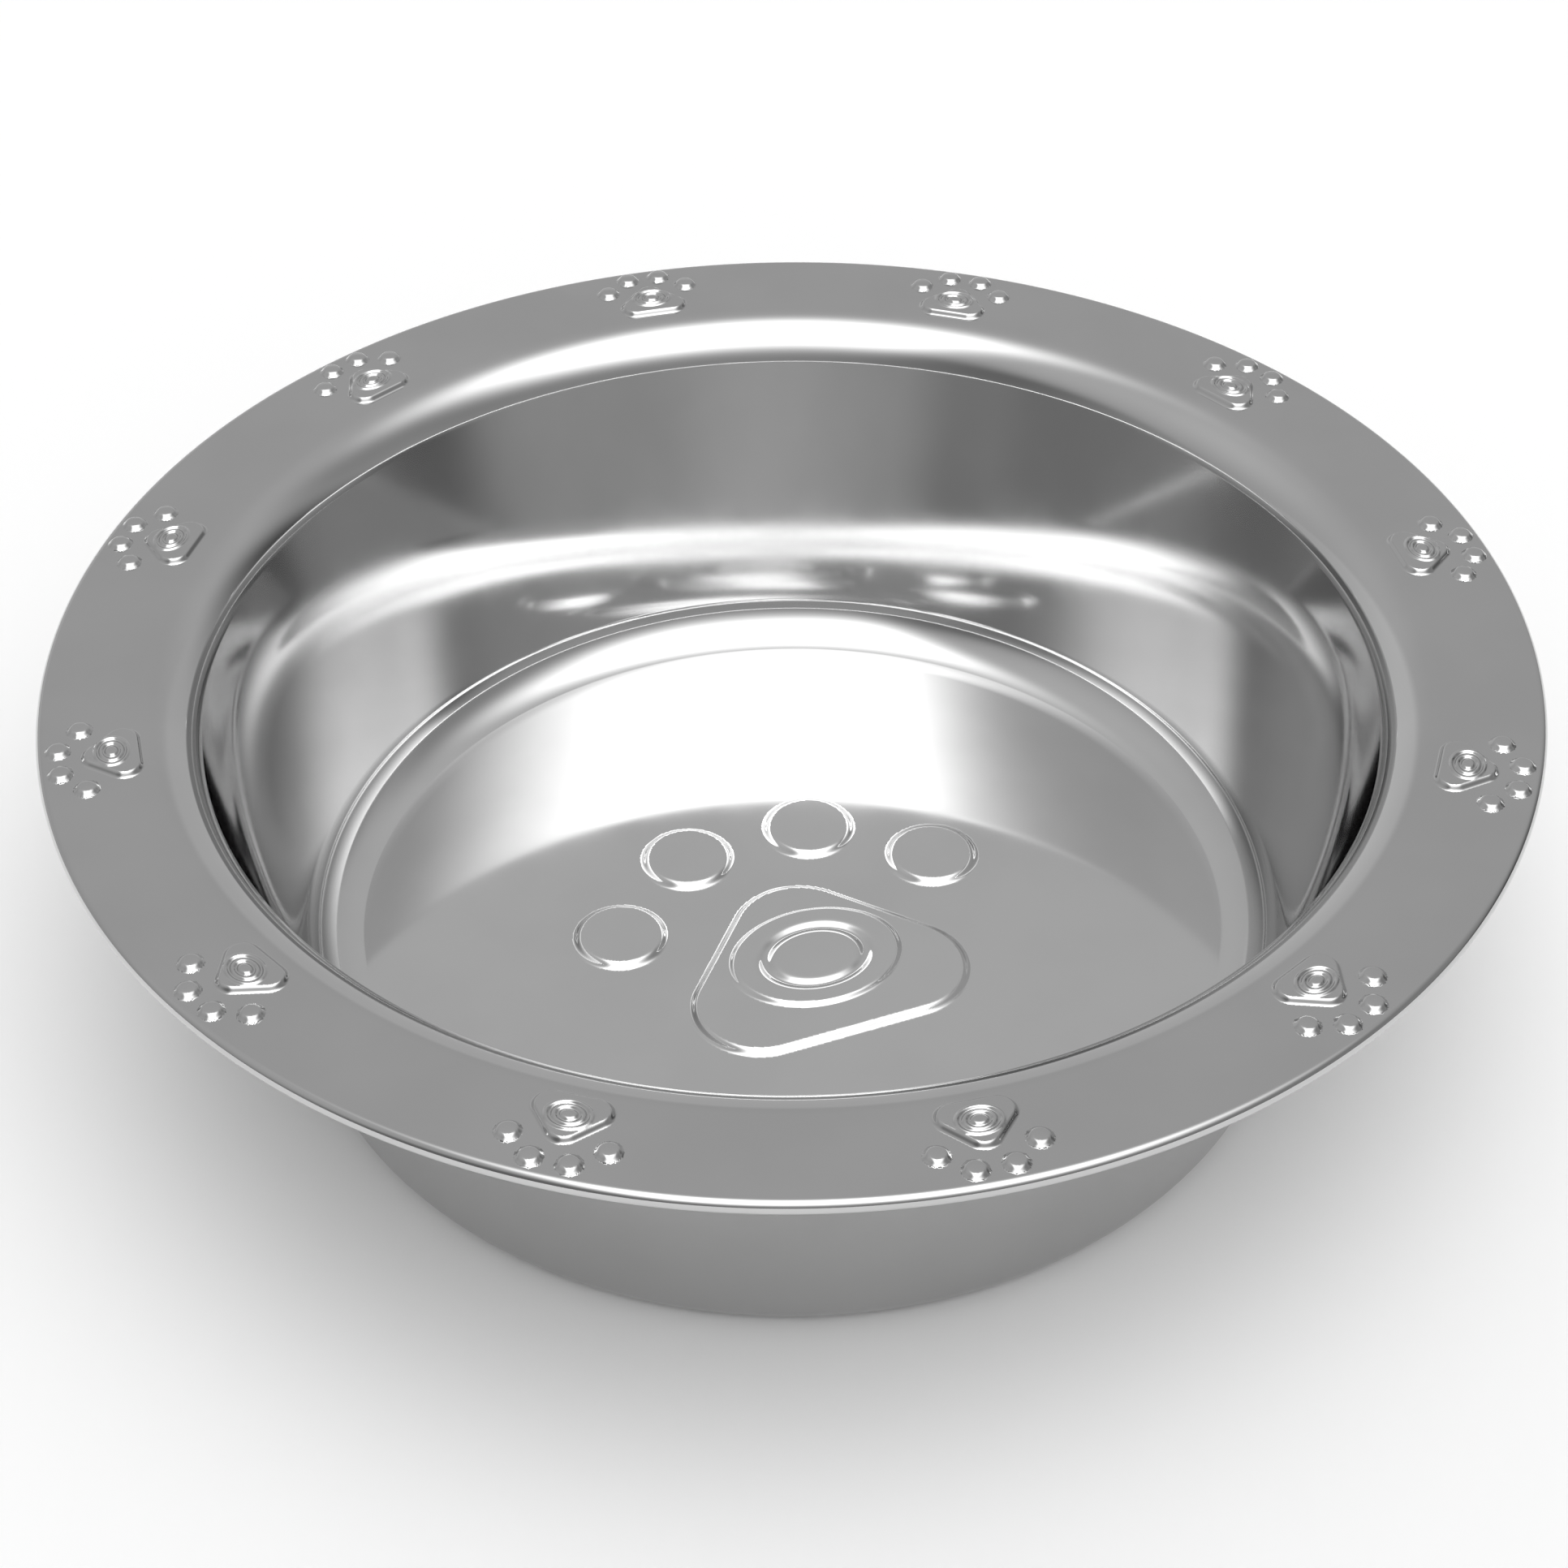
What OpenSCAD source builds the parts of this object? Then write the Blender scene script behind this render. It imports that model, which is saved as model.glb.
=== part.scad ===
// Double-walled stainless dog bowl with a wide flat rim and paw prints pressed into the sheet.
// The origin is the centre of the base on the ground, with +Z up. Sizes are in millimetres.

/* [Rim] */
// Diameter over the rolled edge of the rim
rim_d = 280; // [240:1:320]
// Width of the rim, from its rolled edge to where its line would meet the line of the well wall
rim_w = 27.5; // [26:0.1:40]
// Height of the flat top of the rim above the ground
rim_h = 80; // [60:0.5:110]
// Radius of the bend from the flat rim down into the well
mouth_bend_r = 10.5; // [7:0.1:12]
// Width of the edge that is folded back under the rim
hem_w = 6; // [4:0.5:9]

/* [Well] */
// Diameter where the lines of the well wall and the floor would meet
floor_d = 188.5; // [170:0.5:200]
// Air gap between the well's floor and the panel in the base
floor_gap = 7; // [4:0.5:16]
// Radius of the bend between the well wall and the floor
floor_bend_r = 11.5; // [6:0.5:16]

/* [Sheet] */
// Thickness of the sheet that the well and rim are drawn from
well_sheet = 1; // [0.8:0.05:1.2]
// Thickness of the sheet that the outer shell is drawn from
shell_sheet = 0.8; // [0.6:0.05:1]
// Play between the two sheets where one is clamped in the other
seam_gap = 0.1; // [0.05:0.01:0.2]

/* [Outer shell] */
// Air gap between the two walls at the height of the well's floor
wall_gap = 3; // [2:0.1:6]
// Radius of the bend between the shell wall and the base
base_bend_r = 6; // [4:0.5:7]
// Height that the panel in the base is pressed up
panel_rise = 1.2; // [0.8:0.1:2.5]
// Width of the standing edge round the panel, from the corner of the base
foot_w = 8; // [7:0.5:12]

/* [Base ring] */
// Width of the rubber ring
ring_w = 8; // [5:0.5:14]
// Height that the rubber ring stands proud of the base
ring_proud = 1; // [0.6:0.1:2]
// Radius on the lower edges of the rubber ring
ring_edge_r = 0.8; // [0.3:0.1:1.2]

/* [Paw prints] */
// Number of paw prints round the rim
rim_paws = 12; // [6:1:16]
// Distance from a pad's centre to its toes' centres, in the rim's prints
rim_paw_size = 9.8; // [6:0.1:10]
// Height of the prints on the rim
rim_paw_relief = 1; // [0.6:0.1:1.6]
// Further height of the step inside the rim's pads
rim_paw_step = 0.4; // [0.2:0.1:0.8]
// Distance from the pad's centre to its toes' centres, in the floor's print
floor_paw_size = 39; // [30:0.5:44]
// Height of the print on the floor
floor_paw_relief = 1.2; // [0.6:0.1:2]
// Further height of the step inside the floor's pad
floor_paw_step = 0.8; // [0.2:0.1:0.8]
// Turn of the rim's first print from the +X axis
rim_paw_turn = 13.5; // [0:0.5:30]
// Turn of the floor's print from the +Y axis
floor_paw_turn = 21; // [-180:1:180]

/* [Hidden] */
$fn = 96;
// Shape of a paw print, in shares of its size: its toes, and the three rounds of its pad
toe_angles = [-60, -20, 20, 60];
toe_share = 0.5;
pad_rounds = [[0, 0.2], [-0.38, -0.24], [0.38, -0.24]];
pad_round_share = 0.36;
pad_step_share = 0.17;
// How far out the pad's straight sides lie, in shares of the radius of its rounds
pad_side_share = 0.98;
// Slope of a toe's edge: how far it runs in for its rise
edge_run = 0.5;
// How far a cutting shape reaches past what it cuts
over = 1;
// Gap between the rubber ring and the step round the panel
ring_gap = 0.1;
// Radius and slope of the step round the panel
panel_bend_r = 1.3;
panel_slope = 45;
steel = [0.72, 0.72, 0.72];
rubber = [0.12, 0.12, 0.12];

rim_r = rim_d / 2;
mouth_r = rim_r - rim_w;
floor_r = floor_d / 2;
// Heights, from the ground up
base_z = ring_proud;
panel_z = base_z + panel_rise;
floor_z = panel_z + shell_sheet + floor_gap + well_sheet;
well_depth = rim_h - floor_z;
// The folded edge holds both sheets, so its radius is half of the stack
hem_r = (2 * well_sheet + shell_sheet + 2 * seam_gap) / 2;
fold_z = rim_h - 2 * hem_r;
well_slope = atan2(mouth_r - floor_r, well_depth);
// Flat part of the rim, between the bend into the well and the folded edge
flat_in_r = mouth_r + mouth_bend_r * tan((90 - well_slope) / 2);
flat_out_r = rim_r - hem_r;
// Thickness of each sheet measured level through the sloping wall
well_level = well_sheet / cos(well_slope);
shell_level = shell_sheet / cos(well_slope);
// Lower face of the shell's flange, which lies against the underside of the rim
flange_z = rim_h - well_sheet - seam_gap - shell_sheet;
// Outer face of the shell where it meets its flange, at the height of the well's floor, and at the base
shell_top_r = mouth_r - (rim_h - flange_z) * tan(well_slope) + well_level + seam_gap + shell_level;
shell_low_r = floor_r + well_level + wall_gap + shell_level;
base_corner_r = shell_low_r - (floor_z - base_z) * (shell_top_r - shell_low_r) / (flange_z - floor_z);
panel_r = base_corner_r - foot_w;
// How far a paw print reaches past its pad's centre, towards its toes and away from them, in shares of its size
paw_ahead = cos(toe_angles[1]) + toe_share / 2;
paw_behind = pad_round_share - pad_rounds[1][1];

// Unit vector from one point to the next
function toward(a, b) = (b - a) / norm(b - a);
// Vector turned a quarter turn to the left
function left(v) = [-v[1], v[0]];
// Signed turn of a path at its corner b, left being positive
function bend(a, b, c) =
    let (u = toward(a, b), w = toward(b, c)) atan2(u[0] * w[1] - u[1] * w[0], u * w);
// Distance from a corner to where its bend starts
function bend_reach(a, b, c, r) = r * tan(abs(bend(a, b, c)) / 2);
function bend_centre(a, b, c, r) =
    b - toward(a, b) * bend_reach(a, b, c, r) + left(toward(a, b)) * sign(bend(a, b, c)) * r;
// Corner b of a path whose runs are moved off to the right by shift
function moved(a, b, c, shift) = b - left(toward(a, b)) * shift + toward(a, b) * shift * tan(bend(a, b, c) / 2);

// Outline with a true arc of its own radius in each corner, drawn anticlockwise
module rounded(points, radii) {
    last = len(points) - 1;
    // Each corner with the corners before and after it, and its radius
    corners = [for (i = [0:last])
        [points[(i + last) % (last + 1)], points[i], points[(i + 1) % (last + 1)], radii[i]]];
    difference() {
        union() {
            polygon([for (k = corners)
                let (reach = bend_reach(k[0], k[1], k[2], k[3]))
                each k[3] == 0 ? [k[1]] : [k[1] - toward(k[0], k[1]) * reach, k[1] + toward(k[1], k[2]) * reach]]);
            bend_discs(corners, 1);
        }
        bend_discs(corners, -1);
    }
}

// Discs in the corners of an outline that turn one way
module bend_discs(corners, side) {
    for (k = corners)
        if (k[3] > 0 && bend(k[0], k[1], k[2]) * side > 0)
            translate(bend_centre(k[0], k[1], k[2], k[3])) circle(k[3]);
}

// Everything over a face that runs from the axis to end_r, lowered by depth, up to the height top
module over_face(face, radii, depth, end_r, top) {
    last = len(face) - 1;
    end = [end_r, face[last][1]];
    path = [for (i = [0:last]) i == last ? end : face[i]];
    rounded(
        concat(
            [path[0] - [0, depth]],
            [for (i = [1:last - 1]) moved(path[i - 1], path[i], path[i + 1], depth)],
            [end - [0, depth], [end_r, top], [0, top]]),
        concat(
            [for (i = [0:last])
                radii[i] == 0 ? 0 : radii[i] + sign(bend(path[i - 1], path[i], path[i + 1])) * depth],
            [0, 0]));
}

// Toe of a print: a round boss with a sloping edge, d across at z = 0 and rooted below it
module toe(d, h, root) {
    run = min(edge_run, d / (4 * h));
    translate([0, 0, -root]) cylinder(h = h + root, d1 = d + 2 * root * run, d2 = d - 2 * h * run);
}

// Pad of a print: three rounds with straight sides between them, drawn in by inset
module pad(size, h, root, inset) {
    r = pad_round_share * size - inset;
    centres = [for (p = pad_rounds) p * size];
    translate([0, 0, -root]) linear_extrude(h + root) {
        for (p = centres)
            translate(p) circle(r);
        polygon([for (i = [0:2])
            let (a = centres[i], b = centres[(i + 1) % 3], out = -left(toward(a, b)) * pad_side_share * r)
            each [a + out, b + out]]);
    }
}

// Plain paw print, pointing along +Y: root carries it into the sheet, and inset narrows it
module paw(size, relief, step, root, inset) {
    toe_d = toe_share * size;
    for (a = toe_angles)
        rotate([0, 0, a]) translate([0, size, 0]) toe(toe_d - 2 * min(inset, toe_d / 8), relief, root);
    pad(size, relief, root, min(inset, toe_d / 8));
    pad(size, relief + step, 0, pad_step_share * size);
}

// All the prints
module prints(root, inset) {
    rim_pad_r = (flat_in_r + flat_out_r - rim_paw_size * (paw_ahead - paw_behind)) / 2;
    for (i = [0:rim_paws - 1])
        rotate([0, 0, rim_paw_turn + i * 360 / rim_paws]) translate([rim_pad_r, 0, rim_h])
            rotate([0, 0, -90]) paw(rim_paw_size, rim_paw_relief, rim_paw_step, root, inset);
    translate([0, 0, floor_z]) rotate([0, 0, floor_paw_turn])
        translate([0, -floor_paw_size * (paw_ahead - paw_behind) / 2, 0])
            paw(floor_paw_size, floor_paw_relief, floor_paw_step, root, inset);
}

// Well, flat rim and folded edge, drawn from one sheet, with the prints pressed up in it
module inner_bowl() {
    face = [[0, floor_z], [floor_r, floor_z], [mouth_r, rim_h], [flat_out_r, rim_h]];
    radii = [0, floor_bend_r, mouth_bend_r, 0];
    color(steel) difference() {
        union() {
            rotate_extrude() difference() {
                union() {
                    over_face(face, radii, well_sheet, flat_out_r, rim_h);
                    translate([flat_out_r - hem_w, fold_z]) square([hem_w, 2 * hem_r]);
                    translate([flat_out_r, rim_h - hem_r]) circle(hem_r);
                }
                over_face(face, radii, 0, rim_r + over, rim_h + over);
                translate([flat_out_r - hem_w - over, fold_z + well_sheet])
                    square([hem_w + over, 2 * (hem_r - well_sheet)]);
                translate([flat_out_r, rim_h - hem_r]) circle(hem_r - well_sheet);
            }
            prints(well_sheet / 2, 0);
        }
        translate([0, 0, -well_sheet]) prints(well_sheet / 2, well_sheet / 2);
    }
}

// Tapered shell with a pressed base, its upper edge clamped in the rim's fold
module outer_shell() {
    edge_r = flat_out_r - seam_gap;
    face = [
        [0, panel_z], [panel_r, panel_z], [panel_r + panel_rise / tan(panel_slope), base_z],
        [base_corner_r, base_z], [shell_top_r, flange_z], [edge_r, flange_z]];
    flange_bend_r = mouth_bend_r - well_sheet - seam_gap - shell_sheet;
    radii = [0, panel_bend_r, panel_bend_r, base_bend_r, flange_bend_r, 0];
    color(steel) rotate_extrude() difference() {
        over_face(face, radii, 0, edge_r, flange_z + shell_sheet);
        over_face(face, radii, -shell_sheet, edge_r + over, flange_z + shell_sheet + over);
    }
}

// Non-slip ring bonded under the panel, beside the step round it
module base_ring() {
    outer_r = panel_r - panel_bend_r * tan(panel_slope / 2) - ring_gap;
    inner_r = outer_r - ring_w;
    color(rubber) rotate_extrude()
        rounded(
            [[inner_r, 0], [outer_r, 0], [outer_r, panel_z], [inner_r, panel_z]],
            [ring_edge_r, ring_edge_r, 0, 0]);
}

inner_bowl();
outer_shell();
base_ring();
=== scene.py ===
"""Looks of a double-walled stainless dog bowl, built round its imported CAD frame.

The bowl's own sizes are in millimetres, as in the CAD, and turn into metres where a mesh is made. The
finishes and the camera are in metres. +Z is up, the origin is the centre of the base on the ground, +Y
points away from the camera and +X to the camera's right.
"""

from __future__ import annotations

import logging
import math
from collections.abc import Iterable
from dataclasses import dataclass
from enum import Enum

import bpy
import numpy as np
from mathutils import Matrix, Vector


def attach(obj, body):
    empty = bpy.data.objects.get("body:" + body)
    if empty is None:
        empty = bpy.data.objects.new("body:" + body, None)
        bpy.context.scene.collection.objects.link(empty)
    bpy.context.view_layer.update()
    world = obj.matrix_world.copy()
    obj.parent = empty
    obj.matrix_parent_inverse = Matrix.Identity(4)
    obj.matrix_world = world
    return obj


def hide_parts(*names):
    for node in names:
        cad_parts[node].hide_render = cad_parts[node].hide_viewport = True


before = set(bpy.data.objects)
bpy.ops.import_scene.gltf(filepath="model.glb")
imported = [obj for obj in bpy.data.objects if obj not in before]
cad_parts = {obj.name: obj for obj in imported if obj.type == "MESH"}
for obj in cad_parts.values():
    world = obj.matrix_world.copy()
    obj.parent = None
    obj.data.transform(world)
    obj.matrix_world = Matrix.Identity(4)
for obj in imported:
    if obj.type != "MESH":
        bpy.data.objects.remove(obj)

LOG = logging.getLogger("dog_bowl")
MM = 0.001
TINY = 1e-6  # Lengths in millimetres that differ by less are the same

Corners = list[tuple[float, float]]
Value = bpy.types.NodeSocket | float


class Slot(Enum):
    """Material slots of the record."""

    STEEL = "steel"
    SHELL_STEEL = "shell_steel"
    RUBBER = "rubber"


# Shader nodes


class Shader:
    """Short calls that add shader nodes to one tree and join them."""

    def __init__(self, tree: bpy.types.NodeTree) -> None:
        """Takes over a tree and empties it."""
        self.tree = tree
        tree.nodes.clear()

    def node(self, kind: str, **settings: object) -> bpy.types.Node:
        """Adds a node.

        Args:
            kind: Blender's name of the node's class.
            settings: Properties to set on it.

        Returns:
            The new node.
        """
        made = self.tree.nodes.new(kind)
        for name, value in settings.items():
            setattr(made, name, value)
        return made

    def put(self, target: bpy.types.NodeSocket, value: Value) -> None:
        """Joins a socket to an input, or sets a constant on it.

        Args:
            target: The input.
            value: The socket or the constant.
        """
        if isinstance(value, bpy.types.NodeSocket):
            self.tree.links.new(value, target)
        else:
            target.default_value = value

    def math(self, operation: str, *values: Value) -> bpy.types.NodeSocket:
        """Adds one sum.

        Args:
            operation: Name of the Math node's operation.
            values: Sockets or constants, in the node's own order.

        Returns:
            The socket of the result.
        """
        made = self.node("ShaderNodeMath", operation=operation)
        for target, value in zip(made.inputs, values):
            self.put(target, value)
        return made.outputs[0]

    def ramp(
        self, value: Value, start: float, end: float, low: float = 0.0, high: float = 1.0
    ) -> bpy.types.NodeSocket:
        """Adds a smooth step from low to high.

        Args:
            value: What the step depends on.
            start: Where the step begins.
            end: Where it ends.
            low: Result before the step.
            high: Result after it.

        Returns:
            The socket of the result.
        """
        made = self.node("ShaderNodeMapRange", interpolation_type="SMOOTHSTEP")
        names = ("Value", "From Min", "From Max", "To Min", "To Max")
        for name, setting in zip(names, (value, start, end, low, high)):
            self.put(made.inputs[name], setting)
        return made.outputs["Result"]

    def noise(self, place: bpy.types.NodeSocket, scale: float, detail: float) -> bpy.types.NodeSocket:
        """Adds an even noise.

        Args:
            place: Coordinates that the noise follows.
            scale: How many patches it has in a length of 1.
            detail: How many finer layers it has.

        Returns:
            The socket of the noise, from 0 to 1.
        """
        made = self.node("ShaderNodeTexNoise")
        self.put(made.inputs["Vector"], place)
        self.put(made.inputs["Scale"], scale)
        self.put(made.inputs["Detail"], detail)
        return made.outputs["Fac"]

    def bump(
        self, height: bpy.types.NodeSocket, depth: float, under: bpy.types.NodeSocket | None = None
    ) -> bpy.types.NodeSocket:
        """Adds a bump of full strength.

        Args:
            height: Its form, from 0 to 1.
            depth: Its height, in metres.
            under: Normal of a coarser bump that it lies on, if any.

        Returns:
            The socket of the normal.
        """
        made = self.node("ShaderNodeBump")
        self.put(made.inputs["Strength"], 1.0)
        self.put(made.inputs["Distance"], depth)
        self.put(made.inputs["Height"], height)
        if under is not None:
            self.put(made.inputs["Normal"], under)
        return made.outputs[0]

    def kept(self, fade: bpy.types.NodeSocket) -> bpy.types.NodeSocket:
        """Share of its strength that a patch of light keeps at a fade, 1 in its middle and 0 far off."""
        return self.math("EXPONENT", self.math("MULTIPLY", fade, -1.0))

    def grey(self, value: Value) -> bpy.types.NodeSocket:
        """Turns a number into a grey colour.

        Args:
            value: The number.

        Returns:
            The socket of the colour.
        """
        made = self.node("ShaderNodeCombineColor")
        for target in made.inputs[:3]:
            self.put(target, value)
        return made.outputs[0]

    def output(self, kind: str, surface: bpy.types.Node) -> None:
        """Adds the output node and joins what it shows.

        Args:
            kind: Blender's name of the output node's class.
            surface: The shader that it shows.
        """
        self.put(self.node(kind).inputs["Surface"], surface.outputs[0])


def new_material(name: str) -> tuple[bpy.types.Material, Shader]:
    """Makes an empty material.

    Args:
        name: Name of the material.

    Returns:
        The material, and the calls that add its nodes.
    """
    material = bpy.data.materials.new(name)
    material.use_nodes = True
    return material, Shader(material.node_tree)


# Finishes


@dataclass(frozen=True)
class PolishedSteel:
    """Mirror-polished sheet with the faint rings that a polishing wheel leaves, and with painted light
    inside well_r, where its grey is raised to stand in for light bounced round the well.

    A smudge makes the sheet a little rougher, and changes its grey by grey_spread of it. Rings are long
    where ring_change is small, and their pitch and depth are those across them. Lengths are in metres.
    """

    name: str
    grey: float = 0.575
    # Painted light: the well's higher grey stands in for light bounced round the well.
    lit_well_grey: float = 0.69
    well_r: float = 0.116
    well_soft: float = 0.003
    grey_spread: float = 0.02
    grey_range: tuple[float, float] = (0.3, 0.7)
    roughness: float = 0.055
    roughness_spread: float = 0.035
    roughness_range: tuple[float, float] = (0.35, 0.75)
    smudge_scale: float = 38.0
    smudge_detail: float = 3.0
    axis_r: float = 0.001
    ring_change: float = 1.4
    ring_pitch: float = 0.0004
    ring_depth: float = 1.2e-7
    ripple_pitch: float = 0.012
    ripple_depth: float = 1.0e-6

    def _rings(
        self, shader: Shader, split: bpy.types.Node, across: bpy.types.NodeSocket
    ) -> bpy.types.NodeSocket:
        """Adds the polishing rings, fine across and long round the bowl's axis.

        Args:
            shader: The material's nodes.
            split: Node that gives the place as X, Y and Z.
            across: Distance from the axis.

        Returns:
            The socket of their form, from 0 to 1.
        """
        x, y, z = split.outputs
        safe = shader.math("MAXIMUM", across, self.axis_r)
        around = shader.node("ShaderNodeCombineXYZ")
        for target, value in zip(around.inputs, (x, y)):
            turn = shader.math("DIVIDE", value, safe)
            shader.put(target, shader.math("MULTIPLY", turn, self.ring_change))
        shader.put(around.inputs["Z"], shader.math("DIVIDE", across, self.ring_pitch))
        rings = shader.node("ShaderNodeTexNoise", noise_dimensions="4D")
        shader.put(rings.inputs["Vector"], around.outputs[0])
        shader.put(rings.inputs["W"], shader.math("DIVIDE", z, self.ring_pitch))
        shader.put(rings.inputs["Scale"], 1.0)
        shader.put(rings.inputs["Detail"], 1.0)
        return rings.outputs["Fac"]

    def build(self) -> bpy.types.Material:
        """Makes the material.

        Returns:
            The material, with rings that follow the bowl's axis.
        """
        material, shader = new_material(self.name)
        place = shader.node("ShaderNodeTexCoord").outputs["Object"]
        split = shader.node("ShaderNodeSeparateXYZ")
        shader.put(split.inputs[0], place)
        squares = [shader.math("MULTIPLY", value, value) for value in split.outputs[:2]]
        across = shader.math("SQRT", shader.math("ADD", *squares))
        ripple = shader.bump(shader.noise(place, 1.0 / self.ripple_pitch, 1.0), self.ripple_depth)
        rings = shader.bump(self._rings(shader, split, across), self.ring_depth, ripple)
        smudge = shader.noise(place, self.smudge_scale, self.smudge_detail)
        edge = (self.well_r - self.well_soft, self.well_r + self.well_soft)
        # Painted light: the grey is raised inside the well to stand in for light bounced round it.
        tone = shader.ramp(across, *edge, self.lit_well_grey, self.grey)
        uneven = shader.ramp(smudge, *self.grey_range, 1.0 - self.grey_spread, 1.0 + self.grey_spread)
        roughest = self.roughness + self.roughness_spread
        surface = shader.node("ShaderNodeBsdfPrincipled")
        shader.put(surface.inputs["Metallic"], 1.0)
        shader.put(surface.inputs["Base Color"], shader.grey(shader.math("MULTIPLY", tone, uneven)))
        rough = shader.ramp(smudge, *self.roughness_range, self.roughness, roughest)
        shader.put(surface.inputs["Roughness"], rough)
        shader.put(surface.inputs["Normal"], rings)
        shader.output("ShaderNodeOutputMaterial", surface)
        return material


@dataclass(frozen=True)
class MattRubber:
    """Black moulded rubber with a fine grain and a little dust. Lengths are in metres."""

    name: str
    tone: float = 0.028
    dust_tone: float = 0.045
    dust_range: tuple[float, float] = (0.4, 0.8)
    dust_scale: float = 90.0
    dust_detail: float = 4.0
    roughness: float = 0.68
    roughness_spread: float = 0.12
    roughness_range: tuple[float, float] = (0.3, 0.7)
    grain_pitch: float = 0.0006
    grain_detail: float = 3.0
    grain_depth: float = 0.00003

    def build(self) -> bpy.types.Material:
        """Makes the material.

        Returns:
            The material.
        """
        material, shader = new_material(self.name)
        place = shader.node("ShaderNodeTexCoord").outputs["Object"]
        grain = shader.noise(place, 1.0 / self.grain_pitch, self.grain_detail)
        dust = shader.noise(place, self.dust_scale, self.dust_detail)
        tone = shader.ramp(dust, *self.dust_range, self.tone, self.dust_tone)
        roughest = self.roughness + self.roughness_spread
        surface = shader.node("ShaderNodeBsdfPrincipled")
        shader.put(surface.inputs["Base Color"], shader.grey(tone))
        rough = shader.ramp(grain, *self.roughness_range, self.roughness, roughest)
        shader.put(surface.inputs["Roughness"], rough)
        shader.put(surface.inputs["Normal"], shader.bump(grain, self.grain_depth))
        shader.output("ShaderNodeOutputMaterial", surface)
        return material


@dataclass(frozen=True)
class PaleFloor:
    """Plain white studio floor."""

    name: str
    tone: float = 0.98

    def build(self) -> bpy.types.Material:
        """Makes the material.

        Returns:
            The material.
        """
        material, shader = new_material(self.name)
        surface = shader.node("ShaderNodeBsdfDiffuse")
        surface.inputs["Color"].default_value = (self.tone, self.tone, self.tone, 1.0)
        shader.output("ShaderNodeOutputMaterial", surface)
        return material


# Sections and spun skins


@dataclass
class Section:
    """Points along a section in the plane of radius and height, each with its normal.

    Lengths are in millimetres.
    """

    points: np.ndarray
    normals: np.ndarray

    @staticmethod
    def bent(points: Corners, radii: list[float], shift: float, steps: int) -> Section:
        """Rounds the corners of a path and moves it off to its left.

        Args:
            points: Corners of the path, as radius and height.
            radii: Radius of each corner, measured on the path itself.
            shift: How far to the left of the path the section lies.
            steps: Flats in each bend.

        Returns:
            The section, with normals that point to its left.
        """
        corners = [np.array(p, float) for p in points]
        runs = [(b - a) / np.linalg.norm(b - a) for a, b in zip(corners, corners[1:])]
        lefts = [np.array((-u[1], u[0])) for u in runs]
        made = [corners[0] + lefts[0] * shift]
        facing = [lefts[0]]
        for i in range(1, len(corners) - 1):
            u, w = runs[i - 1], runs[i]
            bend = math.atan2(u[0] * w[1] - u[1] * w[0], float(u @ w))
            side = math.copysign(1.0, bend)
            radius = radii[i]
            start = corners[i] - u * radius * math.tan(abs(bend) / 2)
            centre = start + lefts[i - 1] * side * radius
            first = math.atan2(*(start - centre)[::-1])
            for k in range(steps + 1):
                turned = first + bend * k / steps
                spoke = np.array((math.cos(turned), math.sin(turned)))
                made.append(centre + (radius - side * shift) * spoke)
                facing.append(-side * spoke)
        made.append(corners[-1] + lefts[-1] * shift)
        facing.append(lefts[-1])
        return Section(np.array(made), np.array(facing))

    @staticmethod
    def sheet(
        points: Corners, radii: list[float], low: float, high: float, steps: int, edge_steps: int = 9
    ) -> Section:
        """Makes the whole outline of a bent sheet that starts on the axis and has a rounded free edge.

        Args:
            points: Corners of the path that the sheet follows.
            radii: Radius of each corner.
            low: Shift of the sheet's right side from the path.
            high: Shift of its left side.
            steps: Flats in each bend.
            edge_steps: Flats round the free edge.

        Returns:
            The outline, from the axis along the left side to the free edge and back along the right side.
        """
        left = Section.bent(points, radii, high, steps)
        right = Section.bent(points, radii, low, steps)
        middle = (left.points[-1] + right.points[-1]) / 2
        across = left.normals[-1]
        ahead = np.array((across[1], -across[0]))
        turns = np.linspace(0, math.pi, edge_steps + 1)[1:-1]
        edge_normals = np.array([across * math.cos(t) + ahead * math.sin(t) for t in turns])
        edge = middle + edge_normals * (high - low) / 2
        return Section(
            np.vstack([left.points, edge, right.points[::-1]]),
            np.vstack([left.normals, edge_normals, -right.normals[::-1]]),
        )

    def resampled(self, longest: float) -> Section:
        """Adds points on long straight runs.

        Args:
            longest: Longest gap that stays between two points.

        Returns:
            The finer section.
        """
        made, facing = [self.points[0]], [self.normals[0]]
        for a, b, na, nb in zip(self.points, self.points[1:], self.normals, self.normals[1:]):
            gap = float(np.linalg.norm(b - a))
            if gap < TINY:
                continue
            count = math.ceil(gap / longest)
            for k in range(1, count + 1):
                mixed = na + (nb - na) * k / count
                made.append(a + (b - a) * k / count)
                facing.append(mixed / np.linalg.norm(mixed))
        return Section(np.array(made), np.array(facing))


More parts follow.
